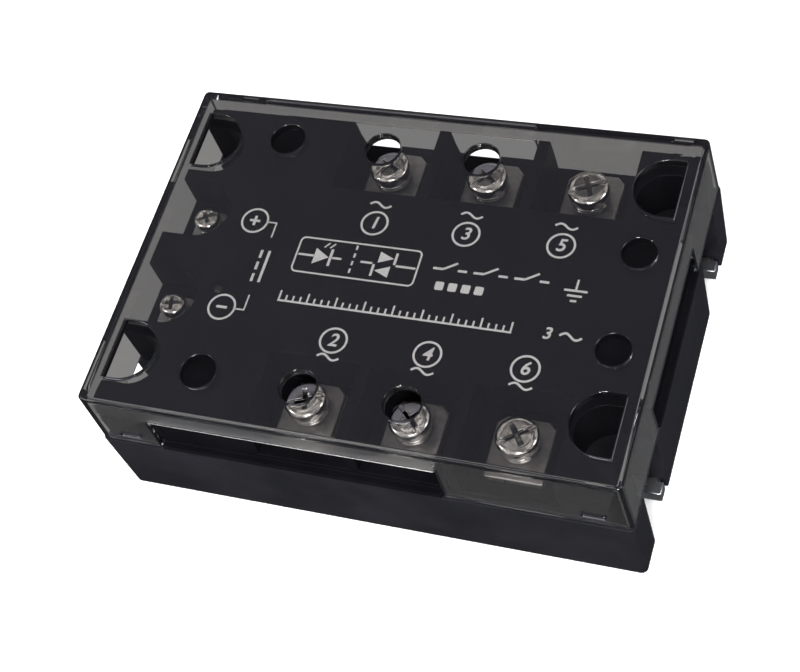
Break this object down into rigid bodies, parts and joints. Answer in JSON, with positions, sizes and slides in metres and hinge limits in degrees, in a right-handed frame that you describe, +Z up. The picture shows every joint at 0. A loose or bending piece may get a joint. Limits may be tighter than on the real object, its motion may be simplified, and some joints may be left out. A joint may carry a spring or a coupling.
{
  "type": "solid state relay",
  "caption": "Flat panel-mount three-phase solid state relay with screw terminals along both long sides and a clear lift-off cover.",
  "frame": {"origin": "centre of the base plate's underside", "axes": "+X along the case away from the input terminals, +Y towards the odd-numbered load terminals, +Z up out of the cover"},
  "size_m": [0.1066, 0.0746, 0.0345],
  "materials": {
    "base_aluminium": "milled, satin",
    "housing_plastic": "fine moulded grain",
    "cover_clear": "clear smoke tint, polished",
    "terminal_metal": "nickel-flashed brass",
    "clamp_steel": "stamped, zinc plated",
    "screw_steel": "nickel plated",
    "board_laminate": "solder mask",
    "led_epoxy": "tinted, unlit",
    "package_epoxy": "moulded epoxy",
    "ceramic_white": "fired alumina",
    "chip_silicon": "metallised silicon",
    "capacitor_case": "dipped film capacitor",
    "resistor_coat": "lacquered"
  },
  "bodies": {
    "case": {"base_plate": "base_aluminium", "housing": "housing_plastic", "load_terminal_1": "terminal_metal", "load_terminal_2": "terminal_metal", "load_terminal_3": "terminal_metal", "load_terminal_4": "terminal_metal", "load_terminal_5": "terminal_metal", "load_terminal_6": "terminal_metal", "input_terminal_plus": "terminal_metal", "input_terminal_minus": "terminal_metal", "control_board": "board_laminate", "status_led": "led_epoxy", "optocoupler_1": "package_epoxy", "optocoupler_2": "package_epoxy", "optocoupler_3": "package_epoxy", "ceramic_substrate_1": "ceramic_white", "ceramic_substrate_2": "ceramic_white", "ceramic_substrate_3": "ceramic_white", "thyristor_chip_1": "chip_silicon", "thyristor_chip_2": "chip_silicon", "thyristor_chip_3": "chip_silicon", "thyristor_chip_4": "chip_silicon", "thyristor_chip_5": "chip_silicon", "thyristor_chip_6": "chip_silicon", "snubber_capacitor_1": "capacitor_case", "snubber_capacitor_2": "capacitor_case", "snubber_capacitor_3": "capacitor_case", "snubber_resistor_1": "resistor_coat", "snubber_resistor_2": "resistor_coat", "snubber_resistor_3": "resistor_coat", "housing_screw_1": "screw_steel", "housing_screw_2": "screw_steel", "housing_screw_3": "screw_steel", "housing_screw_4": "screw_steel"},
    "cover": {"cover": "cover_clear"},
    "load_clamp_1": {"load_clamp_1": "clamp_steel", "load_spring_washer_1": "screw_steel"},
    "load_screw_1": {"load_screw_1": "screw_steel"},
    "load_clamp_2": {"load_clamp_2": "clamp_steel", "load_spring_washer_2": "screw_steel"},
    "load_screw_2": {"load_screw_2": "screw_steel"},
    "load_clamp_3": {"load_clamp_3": "clamp_steel", "load_spring_washer_3": "screw_steel"},
    "load_screw_3": {"load_screw_3": "screw_steel"},
    "load_clamp_4": {"load_clamp_4": "clamp_steel", "load_spring_washer_4": "screw_steel"},
    "load_screw_4": {"load_screw_4": "screw_steel"},
    "load_clamp_5": {"load_clamp_5": "clamp_steel", "load_spring_washer_5": "screw_steel"},
    "load_screw_5": {"load_screw_5": "screw_steel"},
    "load_clamp_6": {"load_clamp_6": "clamp_steel", "load_spring_washer_6": "screw_steel"},
    "load_screw_6": {"load_screw_6": "screw_steel"},
    "input_clamp_plus": {"input_clamp_plus": "clamp_steel", "input_spring_washer_plus": "screw_steel"},
    "input_screw_plus": {"input_screw_plus": "screw_steel"},
    "input_clamp_minus": {"input_clamp_minus": "clamp_steel", "input_spring_washer_minus": "screw_steel"},
    "input_screw_minus": {"input_screw_minus": "screw_steel"}
  },
  "joints": [
    {"name": "cover_lift", "type": "slide", "parent": "case", "child": "cover", "axis": [0, 0, 1], "range_m": [0, 0.03]},
    {"name": "load_clamp_1_travel", "type": "slide", "parent": "case", "child": "load_clamp_1", "axis": [0, 0, 1], "range_m": [-0.0002, 0.0035]},
    {"name": "load_screw_1_turn", "type": "hinge", "parent": "load_clamp_1", "child": "load_screw_1", "pos_m": [-0.0102, 0.0269, 0.026], "axis": [0, 0, 1], "range_deg": [-104, 1802]},
    {"name": "load_clamp_2_travel", "type": "slide", "parent": "case", "child": "load_clamp_2", "axis": [0, 0, 1], "range_m": [-0.0012, 0.0025]},
    {"name": "load_screw_2_turn", "type": "hinge", "parent": "load_clamp_2", "child": "load_screw_2", "pos_m": [-0.0102, -0.0269, 0.027], "axis": [0, 0, 1], "range_deg": [-619, 1287]},
    {"name": "load_clamp_3_travel", "type": "slide", "parent": "case", "child": "load_clamp_3", "axis": [0, 0, 1], "range_m": [-0.0002, 0.0035]},
    {"name": "load_screw_3_turn", "type": "hinge", "parent": "load_clamp_3", "child": "load_screw_3", "pos_m": [0.0102, 0.0269, 0.026], "axis": [0, 0, 1], "range_deg": [-104, 1802]},
    {"name": "load_clamp_4_travel", "type": "slide", "parent": "case", "child": "load_clamp_4", "axis": [0, 0, 1], "range_m": [-0.0002, 0.0035]},
    {"name": "load_screw_4_turn", "type": "hinge", "parent": "load_clamp_4", "child": "load_screw_4", "pos_m": [0.0102, -0.0269, 0.026], "axis": [0, 0, 1], "range_deg": [-104, 1802]},
    {"name": "load_clamp_5_travel", "type": "slide", "parent": "case", "child": "load_clamp_5", "axis": [0, 0, 1], "range_m": [-0.0002, 0.0035]},
    {"name": "load_screw_5_turn", "type": "hinge", "parent": "load_clamp_5", "child": "load_screw_5", "pos_m": [0.0306, 0.0269, 0.026], "axis": [0, 0, 1], "range_deg": [-104, 1802]},
    {"name": "load_clamp_6_travel", "type": "slide", "parent": "case", "child": "load_clamp_6", "axis": [0, 0, 1], "range_m": [-0.0002, 0.0035]},
    {"name": "load_screw_6_turn", "type": "hinge", "parent": "load_clamp_6", "child": "load_screw_6", "pos_m": [0.0306, -0.0269, 0.026], "axis": [0, 0, 1], "range_deg": [-104, 1802]},
    {"name": "input_clamp_plus_travel", "type": "slide", "parent": "case", "child": "input_clamp_plus", "axis": [0, 0, 1], "range_m": [-0.0002, 0.0025]},
    {"name": "input_screw_plus_turn", "type": "hinge", "parent": "input_clamp_plus", "child": "input_screw_plus", "pos_m": [-0.045, 0.0102, 0.0265], "axis": [0, 0, 1], "range_deg": [-145, 1801]},
    {"name": "input_clamp_minus_travel", "type": "slide", "parent": "case", "child": "input_clamp_minus", "axis": [0, 0, 1], "range_m": [-0.0002, 0.0025]},
    {"name": "input_screw_minus_turn", "type": "hinge", "parent": "input_clamp_minus", "child": "input_screw_minus", "pos_m": [-0.045, -0.0102, 0.0265], "axis": [0, 0, 1], "range_deg": [-145, 1801]}
  ],
  "couplings": [
    {"joint": "load_screw_1_turn", "follows": "load_clamp_1_travel", "rad_per_m": 8976},
    {"joint": "load_screw_2_turn", "follows": "load_clamp_2_travel", "rad_per_m": 8976},
    {"joint": "load_screw_3_turn", "follows": "load_clamp_3_travel", "rad_per_m": 8976},
    {"joint": "load_screw_4_turn", "follows": "load_clamp_4_travel", "rad_per_m": 8976},
    {"joint": "load_screw_5_turn", "follows": "load_clamp_5_travel", "rad_per_m": 8976},
    {"joint": "load_screw_6_turn", "follows": "load_clamp_6_travel", "rad_per_m": 8976},
    {"joint": "input_screw_plus_turn", "follows": "input_clamp_plus_travel", "rad_per_m": 12566},
    {"joint": "input_screw_minus_turn", "follows": "input_clamp_minus_travel", "rad_per_m": 12566}
  ]
}
